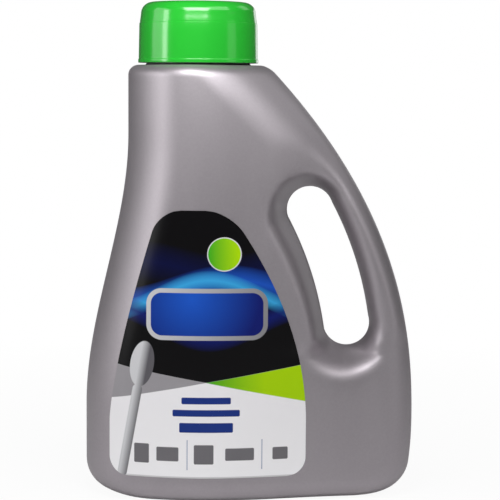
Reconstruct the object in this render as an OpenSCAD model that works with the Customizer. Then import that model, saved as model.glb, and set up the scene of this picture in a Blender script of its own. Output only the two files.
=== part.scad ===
// Powder bottle with a through handle, a wide neck and a screw cap.
// Millimetres, +Z up. X runs to the handle side and Y to the back. The origin lies on the base,
// under the middle of the body's width, in the parting plane of the mould.

/* [Body] */
// Width over the base
body_w = 151.4; // [142:0.2:164]
// Depth at the deepest place, in front of the neck
body_d = 68; // [62:0.5:76]
// Height of the flat shoulder
body_h = 196.4; // [186:0.2:214]
// Thickness of the blown wall
wall_t = 1.2; // [0.8:0.1:2]
// How far the left side steps in on its way up
waist_step = 19.7; // [10:0.1:24]
// Height where the left side starts to step in
waist_low = 40; // [30:1:60]
// Height where the left side is upright again
waist_high = 165; // [140:1:180]
// Length of the flat shoulder, left corner to the start of the sloping side
shoulder_len = 63.8; // [60:0.2:72]
// Height where the sloping side is widest
slope_low = 34; // [20:1:45]
// Power of the curve of the sloping side
slope_power = 2.286; // [2:0.02:2.6]
// How far the sloping side turns in again at the foot
foot_step = 3.5; // [1:0.1:8]
// Radius of the two lower corners, seen from the front
low_corner_r = 15; // [9:0.5:20]
// Radius of the upper left corner
left_corner_r = 4.5; // [3:0.1:8]
// Radius of the upper right corner
right_corner_r = 3.5; // [2.5:0.1:7]

/* [Roundness] */
// Half depth that the body keeps at its thin handle end
end_half_d = 13.5; // [11:0.5:18]
// Distance over which the depth falls away from the neck
taper_len = 62; // [50:1:90]
// Roundness of the left side at the top
left_r_high = 30.5; // [22:0.5:34]
// Roundness of the left side at the foot
left_r_low = 22; // [16:0.5:30]
// Roundness of the sloping side at the top
slope_r_high = 26; // [18:0.5:32]
// Roundness of the sloping side at the foot
slope_r_low = 14; // [9:0.5:22]
// Rounding between the faces and the base
base_r = 9; // [5:0.5:14]
// Rounding between the faces and the shoulder
shoulder_r = 5; // [3:0.5:9]
// Height of the push-up in the base
pushup_h = 2.4; // [1:0.1:5]
// Width of the flat ring on which the base stands
foot_ring = 5; // [3:0.5:8]

/* [Handle] */
// Width of the finger slot at the parting line
slot_w = 21.4; // [17:0.2:23]
// Upper end of the slot's middle line, to the right of the middle
slot_top_x = 27.6; // [24:0.2:31]
// Height of the upper end of the slot's middle line
slot_top_z = 131; // [124:0.5:135]
// Lower end of the slot's middle line, to the right of the middle
slot_low_x = 44.8; // [42:0.2:48]
// Height of the lower end of the slot's middle line
slot_low_z = 79; // [72:0.5:86]
// How far the slot bows towards the hand
slot_bow = 1.1; // [0:0.1:3]
// Half depth of the grip
grip_half_d = 13.5; // [11:0.5:17]
// Roundness of the grip's section, seen from above
grip_r = 8; // [6:0.5:11]
// Rounding of the slot's wall into the body's face, at the foot of the slot
slot_edge_r = 5.5; // [4:0.5:8]
// The same rounding at the top of the slot
slot_edge_high_r = 8.5; // [5:0.5:11]
// Height of the ridge under the slot
ridge_z = 57; // [52:0.5:62]
// Rise of the ridge towards the sloping side, for each millimetre
ridge_rise = 0.28; // [0:0.02:0.4]
// Height over which the ridge falls back to the grip
ridge_h = 13; // [8:0.5:18]
// Height where the grip starts to swell into the upper body
swell_z = 132; // [124:1:140]
// Height over which it swells
swell_h = 34; // [24:1:44]

/* [Neck and thread] */
// Distance of the neck's axis from the left corner of the shoulder
neck_in = 31.9; // [30.8:0.1:34]
// Outer radius of the neck
neck_r = 23.6; // [22:0.1:24.6]
// Wall of the neck
neck_wall = 2; // [1.4:0.1:3]
// Clearance between the neck's rim and the liner
rim_gap = 0.2; // [0.1:0.05:0.4]
// Pitch of the single-start thread
pitch = 6; // [5:0.25:7]
// Number of turns of the thread
thread_turns = 1.5; // [1:0.25:2]
// Distance of the thread's crest from the wall that carries it
thread_depth = 1.55; // [1:0.05:1.8]
// Width of the thread at its root
thread_w = 2.4; // [1.6:0.1:2.6]
// Distance of the start of the thread above the shoulder
thread_start = 10.6; // [8:0.2:12]
// Radial clearance between a crest and the wall that it faces
thread_gap = 0.45; // [0.3:0.05:0.7]

/* [Cap] */
// Gap between the shoulder and the cap
cap_gap = 0.9; // [0.5:0.1:1.6]
// Outer radius of the cap at its rim band
cap_r = 27.4; // [26.9:0.1:28.4]
// Height of the cap
cap_h = 27.7; // [26:0.1:31]
// Height of the rim band
band_h = 1.7; // [1:0.1:3]
// How far the rim band stands out
band_out = 0.25; // [0.1:0.05:0.5]
// Height of the plain wall, up to the crease
plain_h = 18; // [15:0.1:20]
// Draft of the plain wall on the radius
plain_draft = 0.3; // [0:0.05:0.6]
// How far the crease steps in
crease_in = 0.25; // [0.1:0.05:0.5]
// Radius of the rounded top edge
top_r = 5.2; // [3.5:0.1:6]
// Thickness of the top
top_wall = 2.2; // [1.8:0.1:2.8]
// Thickness of the foam liner
liner_t = 1.1; // [0.8:0.1:1.6]
// Clearance of the liner's edge in the cap
liner_gap = 0.4; // [0.3:0.1:0.8]
// Room between the liner and the top of the cap
liner_seat_gap = 0.1; // [0.05:0.05:0.2]
// How far the liner's edge lies inside the neck's outer wall
liner_edge_in = 0.3; // [0.2:0.1:0.8]

/* [Label] */
// Height of the label's lower edge
label_low = 12.2; // [10:0.2:16]
// Height of the label's upper edge
label_high = 132.4; // [124:0.2:136]
// Left edge of the label's wide lower part, from the body's left side
label_left = 14; // [12:0.2:18]
// Width of the label's lower part
label_w = 88.6; // [80:0.2:90]
// Height from which the label's sides lean in
label_waist_z = 37; // [30:1:50]
// How far the left side leans in at the top
label_lean_left = 22.8; // [16:0.2:25]
// Power of the left side's curve
label_power_left = 1.35; // [1:0.05:1.6]
// How far the right side leans in at the top
label_lean_right = 34.8; // [30:0.2:38]
// Power of the right side's curve
label_power_right = 1.95; // [1.4:0.05:2.4]
// Radius of the label's lower corners
label_low_r = 8.5; // [3:0.5:10]
// Radius of the label's upper corners
label_high_r = 10; // [3:0.5:12]
// Thickness of the label's film
label_t = 0.2; // [0.15:0.05:0.4]
// Room between the film and the wall
label_gap = 0.25; // [0.2:0.05:0.4]

/* [Hidden] */
eps = 0.01;

silver_grey = [0.50, 0.48, 0.50];
cap_green = [0.16, 0.70, 0.19];
liner_white = [0.93, 0.93, 0.91];
label_dark = [0.06, 0.06, 0.08];

half_w = body_w / 2;
half_d = body_d / 2;
shoulder_left_x = -half_w + waist_step;
neck_x = shoulder_left_x + neck_in;
neck_bore_r = neck_r - neck_wall;
thread_z = body_h + thread_start;
thread_top_z = thread_z + pitch * thread_turns + thread_w / 2;
cap_z = body_h + cap_gap;
cap_top_z = cap_z + cap_h;
cap_inner_r = neck_r + thread_depth + thread_gap;
liner_top_z = cap_top_z - top_wall - liner_seat_gap;
liner_r = neck_r - liner_edge_in;
rim_z = liner_top_z - liner_t - rim_gap;
slot_r = slot_w / 2;

// The base is cut flat this far above the lowest place of the rounded skin
base_cut = 0.6;
// Power of the slot's wall: steep at the parting line, rounded towards the face
wall_power = 3;
// How deep the neck and its bore reach below the shoulder's fillet
neck_sink = 5;
// Crest of the thread as a share of its root, and how deep the root is set into its wall
crest_share = 0.45;
thread_sink = 0.3;
// Steps over which the thread fades at both ends, and what is left of it there
fade_steps = 3;
fade_left = 0.15;
// Small bevel on the cap's rim band, and height of the taper between the thread and the liner
band_bevel = 0.3;
cap_taper_h = 1.8;
cap_taper_in = 0.9;
// Room above the end of the neck's thread before the cap tapers
thread_room = 0.5;
// Step between the cap's wall and its rounded top edge
top_step = 0.5;
// Radii of the two ends of the push-up, as shares of its radius in front of the neck
pushup_left = 0.7;
pushup_right = 0.32;

function mix(a, b, t) = a + (b - a) * t;
function unit(t) = min(1, max(0, t));
function smooth(t) = let (c = unit(t)) c * c * (3 - 2 * c);
// Quarter of a rounded section: 0 at the edge, 1 from t = 1 on
function round_in(t, n) = let (c = 1 - unit(t)) pow(1 - pow(c, n), 1 / n);
// How far a rounded corner of radius r lies inside a side, at a distance t from its end
function corner_in(r, t) = t >= r ? 0 : r - sqrt(max(0, r * r - (r - max(0, t)) * (r - max(0, t))));

// Side lines of the body, without its corners
function left_side(z) = -half_w + waist_step * smooth((z - waist_low) / (waist_high - waist_low));
slope_span = body_w - waist_step - shoulder_len;
function slope_t(z) = max(0, z - slope_low) / (body_h - slope_low);
function foot_t(z) = max(0, slope_low - z) / slope_low;
function right_side(z) =
    half_w - slope_span * pow(slope_t(z), slope_power) - foot_step * pow(foot_t(z), 2);
// Cosine of the sloping side's lean, which turns a width into a distance from the side
function lean(z) =
    cos(atan(slope_span * slope_power * pow(slope_t(z), slope_power - 1) / (body_h - slope_low)));

// Side lines with the corners, moved in by the thickness "in"
function low_z(in) = in - base_cut;
function left_x(z, in) =
    left_side(z) + in
    + corner_in(low_corner_r - in, z - low_z(in))
    + corner_in(left_corner_r - in, body_h - in - z);
function right_x(z, in) =
    right_side(z) - in / lean(z)
    - corner_in(low_corner_r - in, z - low_z(in))
    - corner_in(right_corner_r - in, body_h - in - z);

// Middle line of the finger slot, a bowed curve from the top end to the low end
slot_top = [slot_top_x, slot_top_z];
slot_low = [slot_low_x, slot_low_z];
slot_dir = (slot_low - slot_top) / norm(slot_low - slot_top);
slot_right = [-slot_dir[1], slot_dir[0]];
slot_mid = (slot_top + slot_low) / 2 + 2 * slot_bow * slot_right;
function slot_line(t) = slot_top * (1 - t) * (1 - t) + slot_mid * 2 * t * (1 - t) + slot_low * t * t;
function slot_foot(p) =
    slot_line(unit((p - slot_top) * slot_dir / norm(slot_low - slot_top)));
// Distance to the right of the slot's middle line, negative to the left
function slot_side(p) = (p - slot_foot(p)) * slot_right;
// Rounding of the slot's wall at height z
function slot_wall_r(z) =
    mix(slot_edge_r, slot_edge_high_r, smooth((z - slot_low_z) / (slot_top_z - slot_low_z)));

// Half depth of the body's plan, deepest in front of the neck
function plan_half_d(x) = mix(end_half_d, half_d, exp(-pow((x - neck_x) / taper_len, 2)));

// What a fillet of radius r takes off the half depth d at a distance t from its face
function fillet(r, t, d) = (1 - exp(-d / r)) * corner_in(r, t);

// Half depth of the body without its slot: the plan, rounded at both sides and filleted at the
// base and the shoulder
function body_half_d(x, z, in) =
    let (d = (plan_half_d(x) - in)
             * round_in((x - left_x(z, in))
                        / (mix(left_r_low, left_r_high, smooth(z / waist_high)) - in), 2)
             * round_in((right_x(z, in) - x) * lean(z)
                        / (mix(slope_r_low, slope_r_high, smooth(z / body_h)) - in), 2))
    max(eps, d - fillet(base_r - in, z - in, d) - fillet(shoulder_r - in, body_h - in - z, d));

// 1 on the grip, 0 on the body, with the ridge below and the swell above
function grip_share(x, z) =
    smooth(0.5 + slot_side([x, z]) / slot_w)
    * smooth((z - ridge_z - (x - slot_low_x) * ridge_rise) / ridge_h)
    * (1 - smooth((z - swell_z) / swell_h));

// Half depth of the skin at x, z: the body, steep towards the slot, or the round grip
function skin_half_d(x, z, in) =
    let (slot_dist = max(0, norm([x, z] - slot_foot([x, z])) - slot_r - in),
         body = body_half_d(x, z, in),
         wall = body * round_in(slot_dist / (slot_wall_r(z) - in), wall_power),
         side_dist = (right_x(z, in) - x) * lean(z),
         grip = (grip_half_d - in) * round_in(side_dist / (grip_r - in), 2)
                * round_in(slot_dist / (grip_r - in), 2))
    mix(wall, grip, grip_share(x, z));

// Outline of the body seen from the front, counted from the foot of the sloping side upwards.
// The numbers of steps belong to: sloping side, shoulder, left side and base.
function steps(a, b, n) = [for (i = [0:n - 1]) mix(a, b, i / n)];
function quarter(r, n) = [for (i = [1:n - 1]) r * (1 - cos(90 * i / n))];
function outline(in, fine) =
    let (low = low_z(in),
         high = body_h - in,
         r_low = low_corner_r - in,
         r_left = left_corner_r - in,
         r_right = right_corner_r - in,
         right_zs = concat([low], [for (q = quarter(r_low, fine ? 6 : 4)) low + q],
                           steps(low + r_low, high - r_right, fine ? 27 : 18),
                           [high - r_right, high - 0.3 * r_right]),
         left_zs = concat([low], [for (q = quarter(r_low, fine ? 6 : 4)) low + q],
                          steps(low + r_low, high - r_left, fine ? 18 : 11),
                          [high - r_left, high - 0.45 * r_left, high - 0.12 * r_left]),
         shoulder_xs = steps(right_x(high, in), left_x(high, in), fine ? 9 : 6),
         base_xs = steps(left_x(low, in), right_x(low, in), fine ? 13 : 9))
    concat([for (z = right_zs) [right_x(z, in), z]],
           [for (x = shoulder_xs) [x, high]],
           [[left_x(high, in), high]],
           [for (i = [len(left_zs) - 1:-1:1]) [left_x(left_zs[i], in), left_zs[i]]],
           [for (x = base_xs) [x, low]]);

// Stations across the skin, as shares of the way from the outline to the middle of the band and
// from the slot's edge to the middle: close where the surface turns, wide where it is flat
function outer_stations(n) = [for (i = [1:n]) pow(i / n, 2.4)];
wall_stations = [0.005, 0.018, 0.042, 0.078, 0.125, 0.19, 0.34, 0.6];
function grip_stations(n) = [for (i = [1:n]) 1 - cos(90 * i / (n + 1))];
function slot_stations(len) =
    let (wide = smooth((len - 24) / 30),
         grip = grip_stations(len(wall_stations)))
    [for (i = [0:len(wall_stations) - 1]) mix(grip[i], wall_stations[i], wide)];

// Places along one line from the outline, at "out", to the slot
function line_places(out, in, n) =
    let (foot = slot_foot(out),
         dir = (out - foot) / norm(out - foot),
         edge = foot + dir * (slot_r + in),
         len = norm(out - edge),
         near = slot_stations(len))
    concat([out],
           [for (s = outer_stations(n)) mix(out, edge, s / 2)],
           [for (i = [len(near) - 1:-1:0]) mix(edge, out, near[i] / 2)],
           [edge]);

// Closed skin: lines of points run from the outline over the front to the slot and back again
// over the rear, so that it closes on itself in both directions
module skin(in, fine) {
    rim = outline(in, fine);
    n = fine ? 8 : 5;
    lines = [for (out = rim) line_places(out, in, n)];
    m = len(lines[0]);
    ring = 2 * (m - 1);
    points = [for (line = lines)
        for (k = [0:ring - 1])
            let (p = line[k < m ? k : ring - k],
                 edge = k == 0 || k == m - 1,
                 y = edge ? 0 : max(0.02, skin_half_d(p[0], p[1], in)))
            [p[0], k < m ? -y : y, p[1]]];
    faces = [for (i = [0:len(rim) - 1])
        for (k = [0:ring - 1])
            let (i2 = (i + 1) % len(rim),
                 k2 = (k + 1) % ring,
                 a = i * ring + k, b = i * ring + k2,
                 c = i2 * ring + k2, d = i2 * ring + k)
            each [[a, b, c], [a, c, d]]];
    polyhedron(points, faces, convexity = 8);
}

// Ridge of a screw thread, swept along its helix and thinned out at both ends.
// It stands out from the radius r by "reach", which is negative for a thread that points inwards.
module thread_ridge(r, reach, start_z) {
    per_turn = 24;
    n = round(per_turn * thread_turns);
    crest_w = thread_w * crest_share;
    root_r = r - thread_sink * sign(reach);
    function end_share(i) = mix(fade_left, 1, smooth(min(i, n - i) / fade_steps));
    function section(share) = [
        [root_r, -thread_w / 2],
        [r + reach * share, -crest_w / 2],
        [r + reach * share, crest_w / 2],
        [root_r, thread_w / 2]];
    points = [for (i = [0:n])
        let (turn = 360 * i / per_turn, lift = start_z + pitch * i / per_turn)
        for (q = section(end_share(i)))
            [q[0] * cos(turn), q[0] * sin(turn), lift + q[1]]];
    side = [for (i = [0:n - 1])
        for (k = [0:3])
            let (a = 4 * i + k, b = 4 * i + (k + 1) % 4)
            each [[a, b, b + 4], [a, b + 4, a + 4]]];
    ends = [[0, 3, 2], [0, 2, 1], [4 * n, 4 * n + 1, 4 * n + 2], [4 * n, 4 * n + 2, 4 * n + 3]];
    all = concat(side, ends);
    polyhedron(points, reach > 0 ? all : [for (f = all) [f[2], f[1], f[0]]], convexity = 6);
}

// Shallow push-up under the base, wider below, grown by the wall for the inside
module pushup(grow) {
    end_in = low_corner_r + foot_ring;
    neck_side_r = half_d - base_r - foot_ring;
    left_end_r = neck_side_r * pushup_left;
    right_end_r = neck_side_r * pushup_right;
    module slab(z, inset) {
        translate([0, 0, z])
            linear_extrude(eps)
                hull() {
                    translate([-half_w + end_in + left_end_r, 0])
                        circle(r = left_end_r - inset + grow, $fn = 32);
                    translate([neck_x, 0]) circle(r = neck_side_r - inset + grow, $fn = 48);
                    translate([half_w - end_in - right_end_r, 0])
                        circle(r = right_end_r - inset + grow, $fn = 32);
                }
    }
    hull() {
        slab(-1, 0);
        slab(pushup_h + grow, min(pushup_h, right_end_r / 2));
    }
}

module below(z) {
    translate([-body_w, -body_d, z - 20]) cube([2 * body_w, 2 * body_d, 20]);
}

module bottle() {
    color(silver_grey)
    difference() {
        union() {
            difference() {
                skin(0, true);
                below(0);
                pushup(0);
            }
            translate([neck_x, 0, body_h - shoulder_r])
                cylinder(r = neck_r, h = rim_z - body_h + shoulder_r, $fn = 96);
            translate([neck_x, 0, 0])
                thread_ridge(neck_r, thread_depth, thread_z);
        }
        difference() {
            skin(wall_t, false);
            below(wall_t);
            pushup(wall_t);
        }
        translate([neck_x, 0, body_h - shoulder_r - neck_sink])
            cylinder(r = neck_bore_r, h = rim_z - body_h + shoulder_r + neck_sink + 1, $fn = 96);
    }
}

module cap() {
    wall_r = cap_r - band_out;
    crease_r = wall_r - plain_draft;
    upper_r = crease_r - crease_in;
    shelf_z = cap_h - top_r;
    edge_r = upper_r - top_step;
    arc = [for (a = [0:10:90]) [edge_r - top_r * (1 - cos(a)), shelf_z + top_r * sin(a)]];
    color(cap_green)
    translate([neck_x, 0, cap_z]) {
        rotate_extrude($fn = 128)
            polygon(concat(
                [[cap_inner_r, 0], [cap_r - band_bevel, 0], [cap_r, band_bevel],
                 [cap_r, band_h - band_bevel], [wall_r, band_h],
                 [crease_r, plain_h - band_bevel], [upper_r, plain_h]],
                arc,
                [[0, cap_h], [0, cap_h - top_wall], [liner_r + liner_gap, cap_h - top_wall],
                 [liner_r + liner_gap + cap_taper_in, cap_h - top_wall - liner_t - cap_taper_h],
                 [cap_inner_r, thread_top_z + thread_room - cap_z]]));
        translate([0, 0, thread_z - pitch / 2 - cap_z])
            thread_ridge(cap_inner_r, -thread_depth, 0);
    }
}

module cap_liner() {
    color(liner_white)
    translate([neck_x, 0, liner_top_z - liner_t])
        cylinder(r = liner_r, h = liner_t, $fn = 96);
}

// Sides of the label at height z, without its corners
label_x = -half_w + label_left;
function label_t_z(z) = unit((z - label_waist_z) / (label_high - label_waist_z));
function label_corner(z) =
    corner_in(label_low_r, z - label_low) + corner_in(label_high_r, label_high - z);
function label_left_x(z) =
    label_x + label_lean_left * pow(label_t_z(z), label_power_left) + label_corner(z);
function label_right_x(z) =
    label_x + label_w - label_lean_right * pow(label_t_z(z), label_power_right) - label_corner(z);

module front_label() {
    columns = 14;
    zs = concat([label_low], [for (q = quarter(label_low_r, 4)) label_low + q],
                steps(label_low + label_low_r, label_high - label_high_r, 18),
                [label_high - label_high_r],
                [for (i = [3:-1:1]) label_high - quarter(label_high_r, 4)[i - 1]], [label_high]);
    rows = len(zs);
    function place(i, k, off) =
        let (z = zs[i], x = mix(label_left_x(z), label_right_x(z), k / columns))
        [x, -skin_half_d(x, z, 0) - off, z];
    points = concat(
        [for (i = [0:rows - 1]) for (k = [0:columns]) place(i, k, label_gap + label_t)],
        [for (i = [0:rows - 1]) for (k = [0:columns]) place(i, k, label_gap)]);
    w = columns + 1;
    back = rows * w;
    sheet = [for (i = [0:rows - 2]) for (k = [0:columns - 1])
        let (a = i * w + k, b = a + 1, c = a + w + 1, d = a + w)
        each [[a, d, c], [a, c, b], [back + a, back + b, back + c], [back + a, back + c, back + d]]];
    edge = concat([for (k = [0:columns - 1]) k],
                  [for (i = [0:rows - 2]) i * w + columns],
                  [for (k = [columns:-1:1]) (rows - 1) * w + k],
                  [for (i = [rows - 1:-1:1]) i * w]);
    sides = [for (i = [0:len(edge) - 1])
        let (a = edge[i], b = edge[(i + 1) % len(edge)])
        each [[a, b, back + b], [a, back + b, back + a]]];
    color(label_dark)
    polyhedron(points, concat(sheet, sides), convexity = 6);
}

bottle();
cap();
cap_liner();
front_label();
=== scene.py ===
import math
import bmesh
import bpy
from mathutils import Matrix, Vector


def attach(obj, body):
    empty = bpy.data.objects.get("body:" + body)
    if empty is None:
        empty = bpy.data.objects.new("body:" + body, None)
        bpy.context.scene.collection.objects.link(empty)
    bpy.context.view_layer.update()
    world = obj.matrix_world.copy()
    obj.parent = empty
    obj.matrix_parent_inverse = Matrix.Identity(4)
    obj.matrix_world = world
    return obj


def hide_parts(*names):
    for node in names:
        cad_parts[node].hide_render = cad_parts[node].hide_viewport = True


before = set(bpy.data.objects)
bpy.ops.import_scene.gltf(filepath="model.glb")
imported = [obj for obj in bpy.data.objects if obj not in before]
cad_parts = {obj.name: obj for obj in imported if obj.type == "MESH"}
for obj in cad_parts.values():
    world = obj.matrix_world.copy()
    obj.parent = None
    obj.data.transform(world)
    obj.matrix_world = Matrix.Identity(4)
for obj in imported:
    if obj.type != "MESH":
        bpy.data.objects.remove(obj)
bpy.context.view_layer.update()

mm = 0.001  # the forms below are in millimetres

bodyForm = {
    "width": 151.4, "depth": 68.0, "height": 196.4, "wall": 1.2,
    "waistStep": 19.7, "waistLow": 40.0, "waistHigh": 165.0,
    "shoulderLength": 63.8, "slopeLow": 34.0, "slopePower": 2.286, "footStep": 3.5,
    "lowCorner": 15.0, "leftCorner": 4.5, "rightCorner": 3.5,
    "endHalfDepth": 13.5, "taperLength": 62.0,
    "leftRoundHigh": 30.5, "leftRoundLow": 22.0, "slopeRoundHigh": 26.0, "slopeRoundLow": 14.0,
    "baseRound": 9.0, "shoulderRound": 5.0, "baseCut": 0.6,
    "pushUp": 2.4, "footRing": 5.0, "pushUpSlope": 3.4, "pushUpSteps": 6,
    "pushUpEnds": (-0.6, 0.55),  # ends of the line that the base draws in to, in half widths
    "seamOut": 0.1, "seamHalf": 0.14, "seamFoot": 0.4, "seamRise": 0.05,  # the parting line of the mould
    "innerEdge": 0.02, "leastDepth": 0.01, "mergeWithin": 0.004, "cutWithin": 0.0005,
    "linesPerStep": 4, "cornerSteps": 4, "slopeSteps": 18, "leftSteps": 13,
    "shoulderCornerSteps": 2, "shoulderSteps": 7, "baseSteps": 10,
    "outerStations": 20, "outerPower": 2.4, "slotStations": 26, "turnAt": 0.6, "turnShare": 0.2,
    "nearPower": 2.6, "farPower": 1.6, "narrow": 24.0, "narrowSpan": 30.0,
}
handleForm = {
    "slotWidth": 21.4, "top": (27.6, 131.0), "low": (44.8, 79.0), "bow": 2.4,
    "gripHalfDepth": 13.5, "gripRound": 8.0,
    "wallLow": 4.6, "wallHigh": 6.2, "wallFoot": 5.0, "footDrop": 5.0, "footReach": 9.0, "rimPower": 5.0,
    "ridgeHeight": 60.5, "ridgeRise": 0.3, "ridgeFall": 11.0, "swellStart": 132.0, "swellHeight": 34.0,
}
neckForm = {
    "fromCorner": 31.9, "radius": 23.6, "wall": 2.0, "rim": 221.4, "rimRound": 0.5, "footRound": 1.0,
    "pitch": 6.0, "turns": 1.5, "threadDepth": 1.55, "threadWidth": 2.4, "threadStart": 10.6,
    "threadStepsPerTurn": 72, "threadSink": 0.3, "threadEnd": 0.12, "threadFadeSteps": 8,
    "threadCrest": 0.2, "threadShoulder": 0.38, "threadShoulderReach": 0.62,  # shares of its width and depth
    "skirtLow": 1.0, "skirtHigh": 0.6, "skirtOut": 0.4, "footSink": 0.05, "boreStart": 6.0,
    "steps": 144, "mergeWithin": 0.002,
}
capForm = {
    "gap": 0.9, "radius": 27.4, "height": 27.7, "bandHeight": 1.7, "bandOut": 0.25,
    "plainHeight": 18.0, "plainDraft": 0.3, "creaseIn": 0.25, "topRound": 5.2, "topWall": 2.2,
    "innerRadius": 25.6, "innerStation": 8, "threadClear": 0.5, "seatOut": 0.9, "seatDrop": 1.8,
    "topIn": 0.5, "crown": 0.3, "crownStations": (6, 12, 17),
    "upperPlaces": [(-0.25, 2.2), (-0.06, 0.9), (0.0, 0.25), (0.02, 0.0)],  # out of the wall, over the crease
    "creasePlaces": [(-0.04, -0.14), (0.0, -0.4)], "wallStations": (0.75, 0.5, 0.25, 0.04),
    "bandPlaces": [(0.0, 0.15), (0.03, 0.0)], "bandStart": 0.3, "bandRound": 0.18, "bandDrop": 0.26,
    "footRound": 0.35, "mouthRound": 0.3, "steps": 160, "sharpAngle": 30,
}
linerForm = {
    "inset": 0.3, "thickness": 1.1, "gap": 0.4, "edge": 0.25, "steps": 96, "sharpAngle": 30,
    "press": [(0.2, 0.0), (0.05, 0.1), (-0.3, 0.1), (-0.45, 0.0)],  # the groove that the neck's rim leaves
}
labelForm = {
    "low": 12.2, "high": 132.4, "leftIn": 14.0, "width": 88.6, "lowCorner": 8.5, "highCorner": 10.0,
    "leftLean": 22.8, "leftPower": 1.35, "rightLean": 34.8, "rightPower": 1.95, "leanStart": 37.0,
    "offset": 0.06, "thickness": 0.12, "columns": 70, "rows": 110, "crowding": 0.6, "sharpAngle": 50,
}
cameraSetup = {
    "distance": 0.75, "eyeHeight": 0.190, "aimHeight": 0.112, "azimuth": 2.5, "roll": 0.4,
    "lens": 117.65, "shiftX": 0.0006, "shiftY": -0.001, "sensor": 36.0, "clipStart": 0.05,
}

halfWidth = bodyForm["width"] / 2
shoulderLeft = -halfWidth + bodyForm["waistStep"]
neckX = shoulderLeft + neckForm["fromCorner"]


def mix(a, b, t):
    return a + (b - a) * t


def unit(t):
    return min(1.0, max(0.0, t))


def smooth(t):
    c = unit(t)
    return c * c * (3 - 2 * c)


def roundIn(t, power):  # quarter of a rounded section: 0 at the edge, 1 from t = 1 on
    return (1 - (1 - unit(t)) ** power) ** (1 / power)


def cornerIn(radius, t):  # how far a rounded corner lies inside its side, t from its end
    if t >= radius:
        return 0.0
    return radius - math.sqrt(max(0.0, radius * radius - (radius - max(0.0, t)) ** 2))


def leftSide(z):
    span = bodyForm["waistHigh"] - bodyForm["waistLow"]
    return -halfWidth + bodyForm["waistStep"] * smooth((z - bodyForm["waistLow"]) / span)


slopeSpan = bodyForm["width"] - bodyForm["waistStep"] - bodyForm["shoulderLength"]
slopeHeight = bodyForm["height"] - bodyForm["slopeLow"]


def rightSide(z):
    up = max(0.0, z - bodyForm["slopeLow"]) / slopeHeight
    down = max(0.0, bodyForm["slopeLow"] - z) / bodyForm["slopeLow"]
    return halfWidth - slopeSpan * up ** bodyForm["slopePower"] - bodyForm["footStep"] * down ** 2


def lean(z):  # cosine of the sloping side's lean
    power = bodyForm["slopePower"]
    up = max(0.0, z - bodyForm["slopeLow"]) / slopeHeight
    return math.cos(math.atan(slopeSpan * power * up ** (power - 1) / slopeHeight))


def lowZ(inset):
    return inset - bodyForm["baseCut"]


def leftX(z, inset):
    low = cornerIn(bodyForm["lowCorner"] - inset, z - lowZ(inset))
    high = cornerIn(bodyForm["leftCorner"] - inset, bodyForm["height"] - inset - z)
    return leftSide(z) + inset + low + high


def rightX(z, inset):
    low = cornerIn(bodyForm["lowCorner"] - inset, z - lowZ(inset))
    high = cornerIn(bodyForm["rightCorner"] - inset, bodyForm["height"] - inset - z)
    return rightSide(z) - inset / lean(z) - low - high


slotTop = Vector(handleForm["top"])
slotLow = Vector(handleForm["low"])
slotLength = (slotLow - slotTop).length
slotDirection = (slotLow - slotTop) / slotLength
slotRight = Vector((-slotDirection.y, slotDirection.x))
slotMid = (slotTop + slotLow) / 2 + 2 * handleForm["bow"] * slotRight


def slotFoot(point):  # the nearest place on the slot's bowed middle line
    t = unit((point - slotTop).dot(slotDirection) / slotLength)
    return slotTop * (1 - t) ** 2 + slotMid * 2 * t * (1 - t) + slotLow * t ** 2


def planHalfDepth(x):  # deepest in front of the neck
    fall = math.exp(-((x - neckX) / bodyForm["taperLength"]) ** 2)
    return mix(bodyForm["endHalfDepth"], bodyForm["depth"] / 2, fall)


def fillet(radius, t, depth):
    return (1 - math.exp(-depth / radius)) * cornerIn(radius, t)


def bodyHalfDepth(x, z, inset):
    leftRound = mix(bodyForm["leftRoundLow"], bodyForm["leftRoundHigh"], smooth(z / bodyForm["waistHigh"]))
    slopeRound = mix(bodyForm["slopeRoundLow"], bodyForm["slopeRoundHigh"], smooth(z / bodyForm["height"]))
    depth = planHalfDepth(x) - inset
    depth *= roundIn((x - leftX(z, inset)) / (leftRound - inset), 2)
    depth *= roundIn((rightX(z, inset) - x) * lean(z) / (slopeRound - inset), 2)
    base = fillet(bodyForm["baseRound"] - inset, z - inset, depth)
    shoulder = fillet(bodyForm["shoulderRound"] - inset, bodyForm["height"] - inset - z, depth)
    return max(bodyForm["leastDepth"], depth - base - shoulder)


def gripShare(point):  # 1 on the grip, 0 on the body
    side = (point - slotFoot(point)).dot(slotRight)
    ridge = handleForm["ridgeHeight"] + (point.x - slotLow.x) * handleForm["ridgeRise"]
    low = smooth((point.y - ridge) / handleForm["ridgeFall"])
    high = smooth((point.y - handleForm["swellStart"]) / handleForm["swellHeight"])
    return smooth(0.5 + side / handleForm["slotWidth"]) * low * (1 - high)


def slotWall(point, distance, inset):  # the slot's drafted wall with its rounded rim: 0 at the parting line
    up = smooth((point.y - slotLow.y) / (slotTop.y - slotLow.y))
    under = smooth((slotLow.y - handleForm["footDrop"] - point.y) / handleForm["footReach"])
    width = mix(handleForm["wallLow"], handleForm["wallHigh"], up) + handleForm["wallFoot"] * under
    share = max(0.0001, distance / (width - 0.5 * inset))
    power = handleForm["rimPower"]
    return (1 + share ** -power) ** (-1 / power)


def skinHalfDepth(point, inset):  # point is (x, z) seen from the front
    slotDistance = max(0.0, (point - slotFoot(point)).length - handleForm["slotWidth"] / 2 - inset)
    body = bodyHalfDepth(point.x, point.y, inset)
    wall = body * slotWall(point, slotDistance, inset)
    sideDistance = (rightX(point.y, inset) - point.x) * lean(point.y)
    gripRound = handleForm["gripRound"] - inset
    grip = handleForm["gripHalfDepth"] - inset
    grip *= roundIn(sideDistance / gripRound, 2) * roundIn(slotDistance / gripRound, 2)
    return mix(wall, grip, gripShare(point))


def steps(a, b, count):
    return [mix(a, b, i / count) for i in range(count)]


def quarter(radius, count):
    return [radius * (1 - math.cos(math.pi / 2 * i / count)) for i in range(1, count)]


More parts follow.
